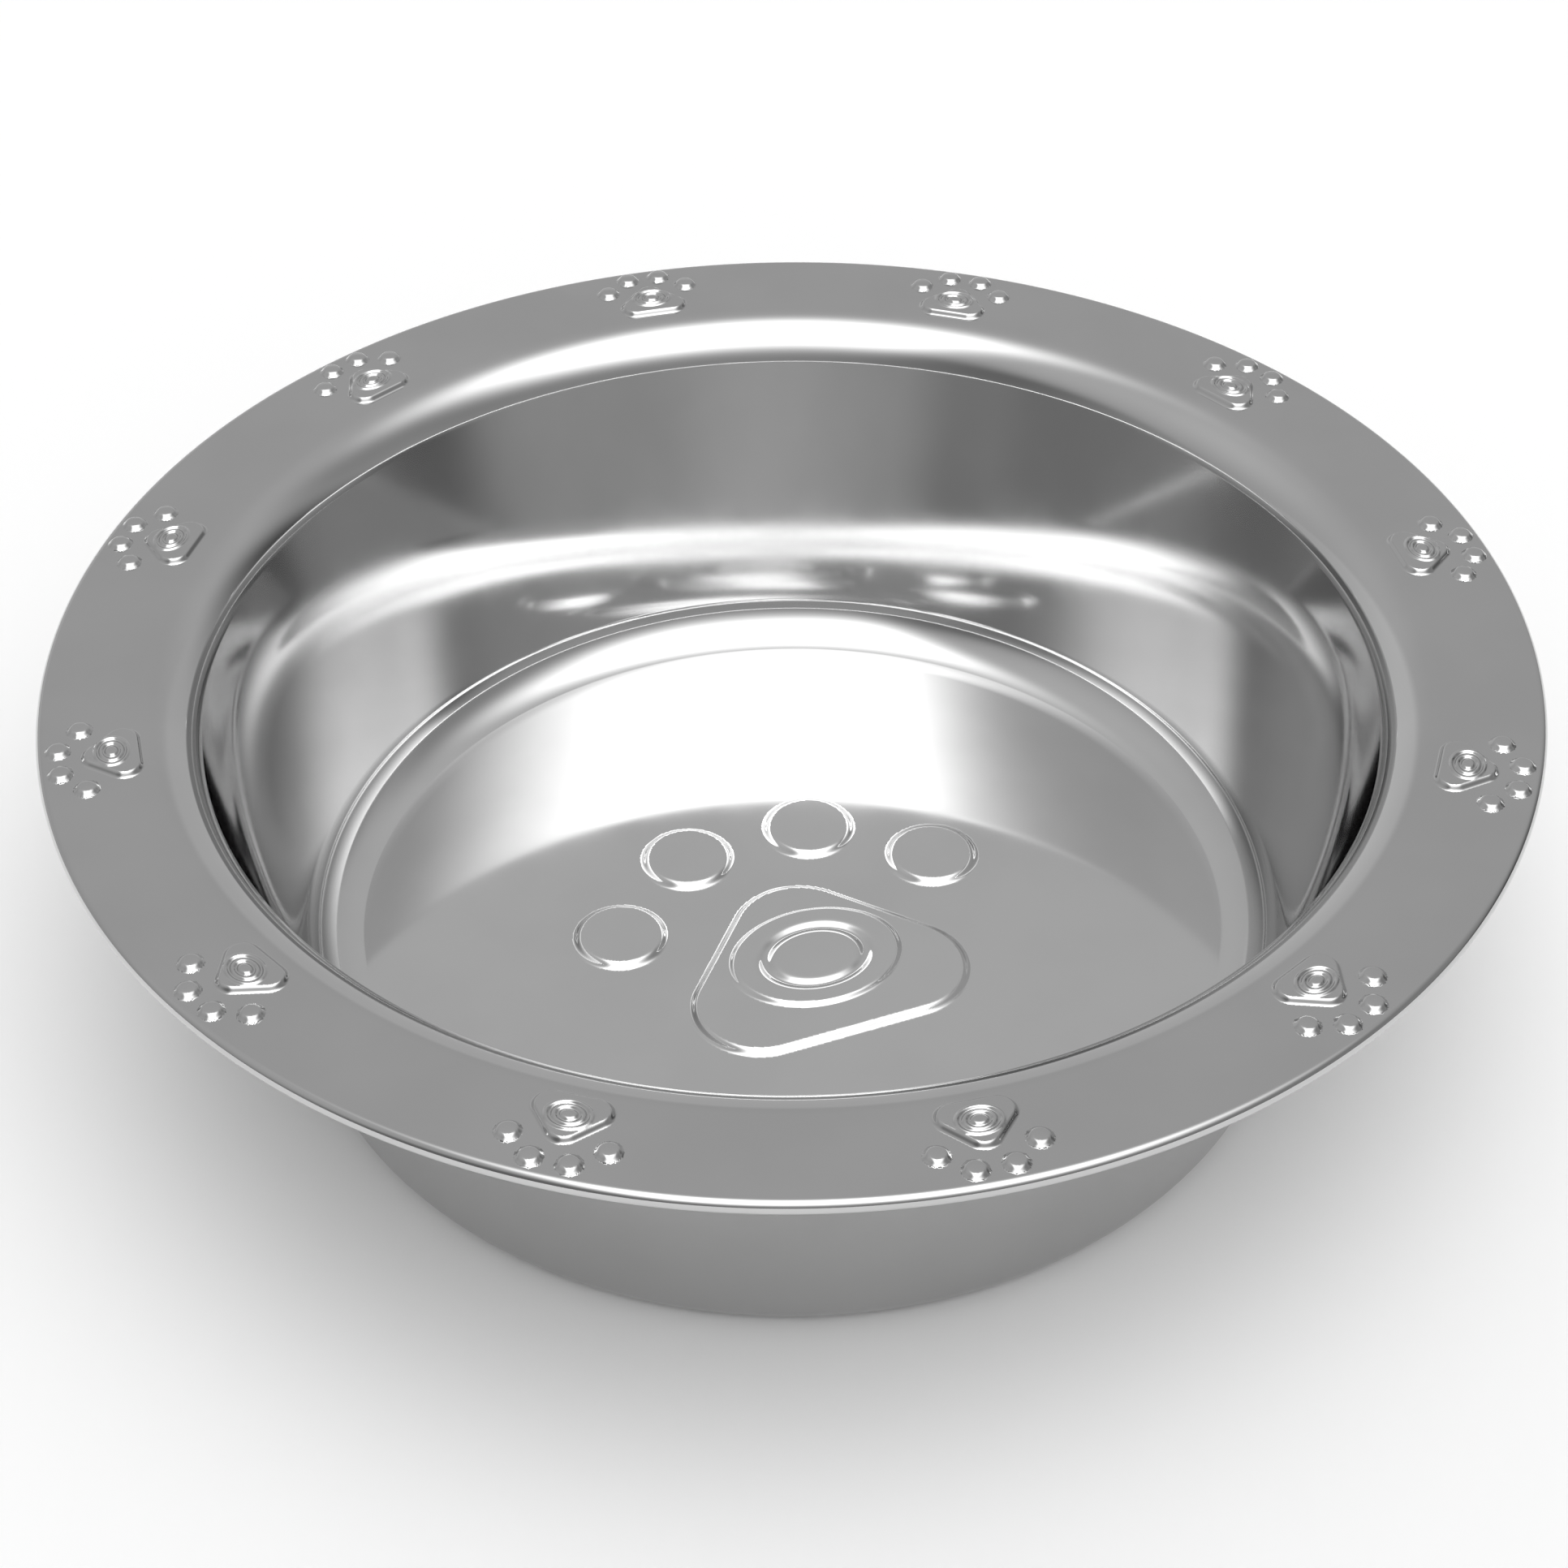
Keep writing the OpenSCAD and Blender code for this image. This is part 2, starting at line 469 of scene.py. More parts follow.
class SpunSkin:
    """Rings of points round the bowl's axis, each joined to the one before. Lengths are in millimetres."""

    def __init__(self) -> None:
        """Starts an empty skin."""
        self.points: list[np.ndarray] = []
        self.normals: list[np.ndarray] = []
        self.faces: list[tuple[int, ...]] = []
        self.count = 0
        self.last: tuple[int, np.ndarray] | None = None

    def ring(
        self,
        radius: float,
        height: float,
        normal: np.ndarray,
        angles: np.ndarray,
        prints: Prints | None = None,
    ) -> None:
        """Adds one ring.

        Args:
            radius: Distance from the axis.
            height: Height above the ground.
            normal: Direction that the ring faces, in radius and height.
            angles: Angles of its points, rising from 0 to less than a full turn.
            prints: Pressed prints that lift the ring, if it crosses any.
        """
        if radius < TINY:
            points = np.array([[0.0, 0.0, height]])
            normals = np.array([[0.0, 0.0, math.copysign(1.0, normal[1])]])
            angles = np.zeros(1)
        else:
            spokes = np.stack([np.cos(angles), np.sin(angles)], 1)
            points = np.column_stack([spokes * radius, np.full(len(angles), height)])
            normals = np.column_stack([spokes * normal[0], np.full(len(angles), normal[1])])
        if prints is not None:
            lift, slope = prints.lift(points[:, :2])
            points[:, 2] += lift
            normals = np.column_stack([-slope, np.ones(len(points))])
            normals /= np.linalg.norm(normals, axis=1)[:, None]
        start = self.count
        self.points.append(points)
        self.normals.append(normals)
        self.count += len(points)
        if self.last is not None:
            self._join(self.last[0], self.last[1], start, angles)
        self.last = (start, angles)

    def _join(self, a: int, a_angles: np.ndarray, b: int, b_angles: np.ndarray) -> None:
        """Joins two rings, with quads where their points match and with triangles where they don't.

        Args:
            a: Number of the first ring's first point.
            a_angles: Angles of the first ring's points.
            b: Number of the second ring's first point.
            b_angles: Angles of the second ring's points.
        """
        n, m = len(a_angles), len(b_angles)
        if n == m and n > 1 and np.allclose(a_angles, b_angles):
            here = np.arange(n)
            after = (here + 1) % n
            quads = np.stack([a + here, b + here, b + after, a + after], 1)
            self.faces.extend(map(tuple, quads.tolist()))
            return
        i = j = 0
        turn = 2 * math.pi
        while i < n or j < m:
            next_a = (a_angles[(i + 1) % n] + turn * ((i + 1) // n)) if i < n else math.inf
            next_b = (b_angles[(j + 1) % m] + turn * ((j + 1) // m)) if j < m else math.inf
            if n == 1:
                next_a, i = math.inf, n
            if m == 1:
                next_b, j = math.inf, m
            if next_a == math.inf and next_b == math.inf:
                break
            if next_b <= next_a:
                self.faces.append((a + i % n, b + j % m, b + (j + 1) % m))
                j += 1
            else:
                self.faces.append((a + i % n, b + j % m, a + (i + 1) % n))
                i += 1

    def build(self, name: str) -> bpy.types.Object:
        """Makes the mesh and its object.

        Args:
            name: Name of the object.

        Returns:
            The object, smooth and with the section's own normals.
        """
        mesh = bpy.data.meshes.new(name)
        mesh.from_pydata((np.vstack(self.points) * MM).tolist(), [], self.faces)
        mesh.shade_smooth()
        mesh.normals_split_custom_set_from_vertices(np.vstack(self.normals).tolist())
        made = bpy.data.objects.new(name, mesh)
        bpy.context.scene.collection.objects.link(made)
        return made


def even_turn(count: int) -> np.ndarray:
    """Angles of a number of points spread evenly round a full turn."""
    return np.arange(count) * 2 * math.pi / count


# Pressed prints


@dataclass(frozen=True)
class PawPrint:
    """One plain paw print, toes towards its own +Y.

    Lengths are in millimetres, angles in degrees, and shares are of the size. The pad has an oval step,
    step_half wide each way, and each groove in that has its distance inside the step, its half width and
    its depth.
    """

    size: float
    relief: float
    edge: float
    toe_dome: float
    step_rise: float
    step_edge: float
    grooves: tuple[tuple[float, float, float], ...]
    step_half: tuple[float, float] = (0.46, 0.36)
    step_ahead: float = -0.03
    toe_angles: tuple[float, ...] = (-60, -20, 20, 60)
    toe_share: float = 0.5
    pad_rounds: tuple[tuple[float, float], ...] = ((0.0, 0.2), (-0.38, -0.24), (0.38, -0.24))
    pad_round_share: float = 0.36
    bevel_ease: float = 0.1
    dome_power: float = 2.4

    @property
    def ahead(self) -> float:
        """Reach from the pad's centre past the toes."""
        return self.size * (math.cos(math.radians(self.toe_angles[1])) + self.toe_share / 2)

    @property
    def behind(self) -> float:
        """Reach from the pad's centre to the pad's heel."""
        return self.size * (self.pad_round_share - self.pad_rounds[1][1])

    def _bevel(self, inside: np.ndarray, width: float) -> np.ndarray:
        """Share of its height that a sloping edge has reached this far inside."""
        share = np.clip(inside / width, 0, 1)
        return share - self.bevel_ease * np.sin(2 * math.pi * share)

    def _dome(self, inside: np.ndarray, radius: float) -> np.ndarray:
        """Share of its height that a round button has reached this far inside."""
        out = np.clip(1 - inside / radius, 0, 1)
        return np.sqrt(1 - out**self.dome_power)

    def _pad_inside(self, x: np.ndarray, y: np.ndarray) -> np.ndarray:
        """Measures how far places lie inside the pad's outline.

        Args:
            x: Place across the print.
            y: Place along it.

        Returns:
            The distances, negative outside the outline.
        """
        corners = np.array(self.pad_rounds) * self.size
        nearest = np.full_like(x, np.inf)
        within = np.ones(x.shape, bool)
        for a, b in zip(corners, np.roll(corners, -1, axis=0)):
            run = b - a
            share = np.clip(((x - a[0]) * run[0] + (y - a[1]) * run[1]) / (run @ run), 0, 1)
            nearest = np.minimum(nearest, np.hypot(x - a[0] - share * run[0], y - a[1] - share * run[1]))
            within &= run[0] * (y - a[1]) - run[1] * (x - a[0]) >= 0
        return self.pad_round_share * self.size + np.where(within, nearest, -nearest)

    def height(self, x: np.ndarray, y: np.ndarray) -> np.ndarray:
        """Finds the height of the print over the sheet.

        Args:
            x: Place across the print.
            y: Place along it.

        Returns:
            The heights.
        """
        made = np.zeros_like(x)
        toe_radius = self.toe_share * self.size / 2
        for angle in self.toe_angles:
            turned = math.radians(angle)
            aside, ahead = math.sin(turned) * self.size, math.cos(turned) * self.size
            inside = toe_radius - np.hypot(x + aside, y - ahead)
            flat = self._bevel(inside, self.edge)
            toe = flat + (self._dome(inside, toe_radius) - flat) * self.toe_dome
            made = np.maximum(made, self.relief * np.where(inside > 0, toe, 0))
        inside = self._pad_inside(x, y)
        pad = self.relief * self._bevel(inside, self.edge)
        half_x, half_y = self.step_half
        across = np.hypot(x / (self.size * half_x), (y / self.size - self.step_ahead) / half_y)
        within = (1 - across) * half_y * self.size
        pad = pad + self.step_rise * self._bevel(within, self.step_edge)
        for place, half, depth in self.grooves:
            pad = pad - depth * np.exp(-(((within - place) / half) ** 2))
        return np.maximum(made, np.where(inside > 0, pad, 0))


@dataclass(frozen=True)
class Prints:
    """Prints pressed into one level face, one at each azimuth, with their toes away from the axis.

    The pads' centres lie at the distance centre from the axis, and no print lifts the face farther from
    its pad's centre than reach times its size.
    """

    paw: PawPrint
    centre: float
    azimuths: tuple[float, ...]
    reach: float = 1.6
    slope_step: float = 0.01

    def lift(self, places: np.ndarray) -> tuple[np.ndarray, np.ndarray]:
        """Finds how the prints lift a face.

        Args:
            places: Points on the face.

        Returns:
            The height at each point, and its slope in X and Y.
        """
        total = np.zeros(len(places))
        slope = np.zeros((len(places), 2))
        step = self.slope_step
        for azimuth in self.azimuths:
            ahead = np.array((math.cos(azimuth), math.sin(azimuth)))
            aside = np.array((ahead[1], -ahead[0]))
            x = places @ aside
            y = places @ ahead - self.centre
            near = np.hypot(x, y) < self.reach * self.paw.size
            if not near.any():
                continue
            x, y = x[near], y[near]
            total[near] = self.paw.height(x, y)
            rise_x = (self.paw.height(x + step, y) - self.paw.height(x - step, y)) / (2 * step)
            rise_y = (self.paw.height(x, y + step) - self.paw.height(x, y - step)) / (2 * step)
            slope[near] = rise_x[:, None] * aside + rise_y[:, None] * ahead
        return total, slope


# The bowl


@dataclass
class BowlSizes:
    """The sizes that the pieces share, as the CAD frame has them. Lengths are in millimetres."""

    rim_d: float = 280.0
    rim_h: float = 80.0
    rim_w: float = 27.5
    mouth_bend_r: float = 10.5
    hem_w: float = 6.0
    floor_d: float = 188.5
    floor_gap: float = 7.0
    floor_bend_r: float = 11.5
    well_sheet: float = 1.0
    shell_sheet: float = 0.8
    seam_gap: float = 0.1
    wall_gap: float = 3.0
    base_bend_r: float = 6.0
    panel_rise: float = 1.2
    foot_w: float = 8.0
    panel_bend_r: float = 1.3
    ring_w: float = 8.0
    ring_proud: float = 1.0
    ring_edge_r: float = 0.8
    ring_gap: float = 0.1

    @property
    def rim_r(self) -> float:
        """Radius over the rolled edge."""
        return self.rim_d / 2

    @property
    def mouth_r(self) -> float:
        """Radius where the lines of the rim and the wall would meet."""
        return self.rim_r - self.rim_w

    @property
    def floor_r(self) -> float:
        """Radius where the lines of the wall and the floor would meet."""
        return self.floor_d / 2

    @property
    def floor_z(self) -> float:
        """Height of the well's floor."""
        return self.panel_z + self.shell_sheet + self.floor_gap + self.well_sheet

    @property
    def hem_r(self) -> float:
        """Outer radius of the folded edge."""
        return (2 * self.well_sheet + self.shell_sheet + 2 * self.seam_gap) / 2

    @property
    def slope(self) -> float:
        """Draft of the well's wall, in radians."""
        return math.atan2(self.mouth_r - self.floor_r, self.rim_h - self.floor_z)

    @property
    def flange_z(self) -> float:
        """Lower face of the shell's flange."""
        return self.rim_h - self.well_sheet - self.seam_gap - self.shell_sheet

    @property
    def flat_in_r(self) -> float:
        """Radius where the rim's flat part starts."""
        return self.mouth_r + self.mouth_bend_r * math.tan((math.pi / 2 - self.slope) / 2)

    @property
    def flat_out_r(self) -> float:
        """Radius where the rim's flat part ends."""
        return self.rim_r - self.hem_r

    @property
    def both_sheets(self) -> float:
        """Both sheets together, measured level through the well's wall."""
        return (self.well_sheet + self.shell_sheet) / math.cos(self.slope)

    @property
    def shell_top_r(self) -> float:
        """Outer face of the shell where it meets its flange."""
        drop = self.rim_h - self.flange_z
        return self.mouth_r - drop * math.tan(self.slope) + self.both_sheets + self.seam_gap

    @property
    def shell_low_r(self) -> float:
        """Outer face of the shell at the height of the well's floor."""
        return self.floor_r + self.both_sheets + self.wall_gap

    @property
    def base_corner_r(self) -> float:
        """Outer corner of the shell's base."""
        lean = (self.shell_top_r - self.shell_low_r) / (self.flange_z - self.floor_z)
        return self.shell_low_r - (self.floor_z - self.ring_proud) * lean

    @property
    def panel_r(self) -> float:
        """Radius of the raised panel in the base."""
        return self.base_corner_r - self.foot_w

    @property
    def panel_z(self) -> float:
        """Height of the raised panel in the base."""
        return self.ring_proud + self.panel_rise

    @property
    def ring_r(self) -> float:
        """Outer radius of the rubber ring, inside the round of the panel's 45 degree step."""
        return self.panel_r - self.panel_bend_r * math.tan(math.radians(45 / 2)) - self.ring_gap


@dataclass
class InnerBowl:
    """Well, flat rim and folded edge, drawn from one sheet with prints pressed into it.

    The skin is fine only where it crosses a print: within floor_reach times the large print's size of the
    axis, and on the flat rim within print_half degrees of a small print's middle. No plain ring comes
    closer than floor_clear to the fine ones of the floor, and the rim's start and end rim_clear inside
    its flat part.
    """

    sizes: BowlSizes
    name: str = "bowl.inner_bowl"
    node: str = "inner_bowl"
    rim_paw_count: int = 12
    rim_paw_turn: float = 13.5
    floor_paw_turn: float = 21.0
    rim_paw: PawPrint = PawPrint(
        size=9.8,
        relief=1.0,
        edge=1.1,
        toe_dome=0.5,
        step_rise=0.38,
        step_edge=0.6,
        grooves=((1.05, 0.35, 0.46), (2.15, 0.35, 0.46)),
    )
    floor_paw: PawPrint = PawPrint(
        size=39.0,
        relief=1.2,
        edge=1.9,
        toe_dome=0.0,
        step_rise=0.8,
        step_edge=1.3,
        grooves=((6.0, 1.0, 0.7),),
    )
    bend_steps: int = 28
    longest_run: float = 8.0
    plain_columns: int = 512
    floor_columns: int = 720
    floor_rings: int = 180
    floor_reach: float = 1.35
    floor_clear: float = 0.5
    rim_rings: int = 108
    rim_clear: float = 0.1
    print_half: float = 5.2
    print_columns: int = 110
    gap_columns: int = 15

    def rim_prints(self) -> Prints:
        """Lays the ring of prints in the middle of the flat rim.

        Returns:
            The prints of the rim.
        """
        middle = (self.sizes.flat_in_r + self.sizes.flat_out_r) / 2
        count = self.rim_paw_count
        turns = tuple(math.radians(self.rim_paw_turn + 360 * i / count) for i in range(count))
        return Prints(self.rim_paw, middle - (self.rim_paw.ahead - self.rim_paw.behind) / 2, turns)

    def floor_prints(self) -> Prints:
        """Lays the large print in the middle of the floor.

        Returns:
            The print of the floor.
        """
        back = (self.floor_paw.ahead - self.floor_paw.behind) / 2
        return Prints(self.floor_paw, -back, (math.radians(90 + self.floor_paw_turn),))

    def rim_angles(self) -> np.ndarray:
        """Spreads the rim's columns, close together only where they cross a print.

        Returns:
            The angles, rising from 0.
        """
        pitch = 360 / self.rim_paw_count
        half = self.print_half
        fine = np.linspace(-half, half, self.print_columns)
        plain = np.linspace(half, pitch - half, self.gap_columns)[1:-1]
        one = np.concatenate([fine, plain])
        turns = np.concatenate([one + self.rim_paw_turn + pitch * i for i in range(self.rim_paw_count)])
        return np.sort(np.radians(turns % 360))

    def build(self) -> bpy.types.Object:
        """Builds the sheet as one closed skin.

        Returns:
            The bowl's object.
        """
        s = self.sizes
        fold_z = s.rim_h - 2 * s.hem_r
        path = [
            (0.0, s.floor_z),
            (s.floor_r, s.floor_z),
            (s.mouth_r, s.rim_h),
            (s.rim_r, s.rim_h),
            (s.rim_r, fold_z),
            (s.rim_r - s.hem_r - s.hem_w, fold_z),
        ]
        radii = [0.0, s.floor_bend_r, s.mouth_bend_r, s.hem_r, s.hem_r, 0.0]
        outline = Section.sheet(path, radii, -s.well_sheet, 0.0, self.bend_steps)
        outline = outline.resampled(self.longest_run)
        level = np.array((0.0, 1.0))
        floor_prints, rim_prints = self.floor_prints(), self.rim_prints()
        print_edge = self.floor_reach * self.floor_paw.size
        rim_start, rim_end = s.flat_in_r + self.rim_clear, s.flat_out_r - self.rim_clear
        skin = SpunSkin()
        for radius in np.linspace(0, print_edge, self.floor_rings):
            skin.ring(radius, s.floor_z, level, even_turn(self.floor_columns), floor_prints)
        on_face = True
        for (radius, height), normal in zip(outline.points, outline.normals):
            on_floor = on_face and height <= s.floor_z + TINY
            on_rim = on_face and abs(height - s.rim_h) < TINY
            if on_floor and radius <= print_edge + self.floor_clear:
                continue
            if on_rim and s.flat_in_r + TINY < radius < s.flat_out_r - TINY:
                continue
            skin.ring(radius, height, normal, even_turn(self.plain_columns))
            if on_rim and abs(radius - s.flat_in_r) < TINY:
                for flat in np.linspace(rim_start, rim_end, self.rim_rings):
                    skin.ring(flat, s.rim_h, level, self.rim_angles(), rim_prints)
            if radius > s.flat_out_r + TINY:
                on_face = False
        return skin.build(self.name)

    def dress(self, made: bpy.types.Object, finish: PolishedSteel) -> None:
        """Gives the bowl its finish and its place in the frame.

        Args:
            made: The bowl's object.
            finish: Its finish.
        """
        made.data.materials.append(finish.build())
        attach(made, "root")
        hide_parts(self.node)


@dataclass
class OuterShell:
    """Tapered outer wall with a pressed base, its edge clamped in the rim's fold."""

    sizes: BowlSizes
    name: str = "bowl.outer_shell"
    node: str = "outer_shell"
    bend_steps: int = 20
    longest_run: float = 8.0
    columns: int = 384

    def build(self) -> bpy.types.Object:
        """Builds the shell as one closed skin.

        Returns:
            The shell's object.
        """
        s = self.sizes
        path = [
            (0.0, s.panel_z),
            (s.panel_r, s.panel_z),
            (s.panel_r + s.panel_rise, s.ring_proud),
            (s.base_corner_r, s.ring_proud),
            (s.shell_top_r, s.flange_z),
            (s.rim_r - s.hem_r - s.seam_gap - s.shell_sheet / 2, s.flange_z),
        ]
        flange_bend = s.mouth_bend_r - s.well_sheet - s.seam_gap - s.shell_sheet
        radii = [0.0, s.panel_bend_r, s.panel_bend_r, s.base_bend_r, flange_bend, 0.0]
        outline = Section.sheet(path, radii, 0.0, s.shell_sheet, self.bend_steps)
        outline = outline.resampled(self.longest_run)
        skin = SpunSkin()
        for (radius, height), normal in zip(outline.points, outline.normals):
            skin.ring(radius, height, normal, even_turn(self.columns))
        return skin.build(self.name)

    def dress(self, made: bpy.types.Object, finish: PolishedSteel) -> None:
        """Gives the shell its finish and its place in the frame.

        Args:
            made: The shell's object.
            finish: Its finish.
        """
        made.data.materials.append(finish.build())
        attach(made, "root")
        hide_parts(self.node)


@dataclass
class BaseRing:
    """Rubber ring bonded under the base, with fine moulded grooves in the face that it stands on."""

    sizes: BowlSizes
    name: str = "bowl.base_ring"
    node: str = "base_ring"
    columns: int = 256
    edge_steps: int = 7
    bond_bevel: float = 0.05
    grooves: int = 3
    groove_w: float = 0.8
    groove_depth: float = 0.3
    groove_steps: int = 6

    def build(self) -> bpy.types.Object:
        """Builds the ring as one closed skin.

        Returns:
            The ring's object.
        """
        s = self.sizes
        outer, inner = s.ring_r, s.ring_r - s.ring_w
        radius, bevel = s.ring_edge_r, self.bond_bevel
        points: Corners = [(inner + bevel, s.panel_z), (outer - bevel, s.panel_z)]
        points.append((outer, s.panel_z - bevel))
        turns = np.linspace(0, math.pi / 2, self.edge_steps + 1)
        points += [(outer - radius + radius * math.cos(t), radius - radius * math.sin(t)) for t in turns]
        for i in range(self.grooves, 0, -1):
            middle = inner + s.ring_w * i / (self.grooves + 1)
            for share in np.arange(self.groove_steps + 1) / self.groove_steps:
                depth = self.groove_depth * math.sin(math.pi * share) ** 2
                points.append((middle + self.groove_w * (0.5 - share), depth))
        points += [(inner + radius - radius * math.sin(t), radius - radius * math.cos(t)) for t in turns]
        points += [(inner, s.panel_z - bevel), (inner + bevel, s.panel_z)]
        outline = np.array(points)
        runs = np.diff(outline, axis=0)
        lefts = np.stack([-runs[:, 1], runs[:, 0]], 1) / np.linalg.norm(runs, axis=1)[:, None]
        facing = lefts + np.roll(lefts, 1, axis=0)
        facing /= np.linalg.norm(facing, axis=1)[:, None]
        skin = SpunSkin()
        for (r, z), normal in zip(outline, np.vstack([facing, facing[:1]])):
            skin.ring(r, z, normal, even_turn(self.columns))
        return skin.build(self.name)

    def dress(self, made: bpy.types.Object, finish: MattRubber) -> None:
        """Gives the ring its finish and its place in the frame.

        Args:
            made: The ring's object.
            finish: Its finish.
        """
        made.data.materials.append(finish.build())
        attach(made, "root")
        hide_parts(self.node)


# Studio


@dataclass(frozen=True)
class ViewCamera:
    """Camera at the photograph's angle.

    Lengths are in metres but for the sensor's, which is in millimetres. Angles are in radians, and pixels
    are those of a square image, side pixels across.
    """

    rim_r: float
    rim_h: float
    elevation: float = 0.661993678
    distance_in_rims: float = 4.4
    focal_px: float = 4039.65673
    side: float = 1932.0
    rim_px: tuple[float, float] = (975.294318, 801.492293)
    roll: float = -0.0090072579
    sensor: float = 36.0
    clip_end: float = 50.0

    def build(self) -> bpy.types.Object:
        """Places the camera so that the rim's centre falls on its pixel.

        Returns:
            The camera.
        """
        lift, level = math.sin(self.elevation), math.cos(self.elevation)
        away = self.distance_in_rims * self.rim_r
        place = Vector((0.0, -away * level, away * lift + self.rim_h))
        sight = Vector((0.0, level, -lift))
        right = Vector((1.0, 0.0, 0.0))
        up = right.cross(sight)
        middle = self.side / 2
        sight = sight - right * ((self.rim_px[0] - middle) / self.focal_px)
        sight = (sight + up * ((self.rim_px[1] - middle) / self.focal_px)).normalized()
        right = sight.cross(Vector((0.0, 0.0, 1.0))).normalized()
        up = right.cross(sight)
        turned = right * math.cos(self.roll) + up * math.sin(self.roll)
        upright = up * math.cos(self.roll) - right * math.sin(self.roll)
        data = bpy.data.cameras.new("view")
        data.sensor_fit = "HORIZONTAL"
        data.sensor_width = self.sensor
        data.lens = self.sensor * self.focal_px / self.side
        data.clip_end = self.clip_end
        made = bpy.data.objects.new("view", data)
        bpy.context.scene.collection.objects.link(made)
        axes = [turned, upright, -sight, place]
        made.matrix_world = Matrix([[a[i] for a in axes] for i in range(3)] + [[0.0, 0.0, 0.0, 1.0]])
        bpy.context.scene.camera = made
        return made


@dataclass(frozen=True)
class Direction:
    """Sockets that tell which way the world is looked at.

    The angle over is measured round the X axis from the far horizon, through the zenith and on towards the
    camera, and the angle aside from that upright plane to the right. Both are in degrees.
    """

    x: bpy.types.NodeSocket
    y: bpy.types.NodeSocket
    z: bpy.types.NodeSocket
    over: bpy.types.NodeSocket
    aside: bpy.types.NodeSocket

    @staticmethod
    def of(shader: Shader) -> Direction:
        """Adds the nodes that measure the direction.

        Args:
            shader: The world's nodes.

        Returns:
            The direction.
        """
        split = shader.node("ShaderNodeSeparateXYZ")
        shader.put(split.inputs[0], shader.node("ShaderNodeTexCoord").outputs["Generated"])
        x, y, z = split.outputs
        degrees = 180.0 / math.pi
        over = shader.math("MULTIPLY", shader.math("ARCTAN2", z, y), degrees)
        aside = shader.math("MULTIPLY", shader.math("ARCSINE", x), degrees)
        return Direction(x, y, z, over, aside)


@dataclass(frozen=True)
class Reach:
    """How far a patch reaches down and up in angle from its middle, in degrees, and how sharply it ends."""

    middle: float
    down: float
    up: float
    power: float = 2.0

    def fade(self, shader: Shader, angle: bpy.types.NodeSocket) -> bpy.types.NodeSocket:
        """Adds the powered distance from the middle.

        Args:
            shader: The world's nodes.
            angle: The angle over or aside.

        Returns:
            The socket of the distance, 0 in the middle and 1 where the reach ends.
        """
        off = shader.math("SUBTRACT", angle, self.middle)
        below = shader.math("MAXIMUM", shader.math("DIVIDE", off, -self.down), 0.0)
        above = shader.math("MAXIMUM", shader.math("DIVIDE", off, self.up), 0.0)
        return shader.math("POWER", shader.math("ADD", below, above), self.power)


@dataclass(frozen=True)
class Patch:
    """A place in the room with soft edges, and the strength of what is there."""

    strength: float
    over: Reach
    aside: Reach

    def share(self, shader: Shader, way: Direction) -> bpy.types.NodeSocket:
        """Adds how much of the patch lies in a direction.

        Args:
            shader: The world's nodes.
            way: The direction.

        Returns:
            The socket of the share, 1 in the patch's middle.
        """
        fades = self.over.fade(shader, way.over), self.aside.fade(shader, way.aside)
        return shader.kept(shader.math("ADD", *fades))


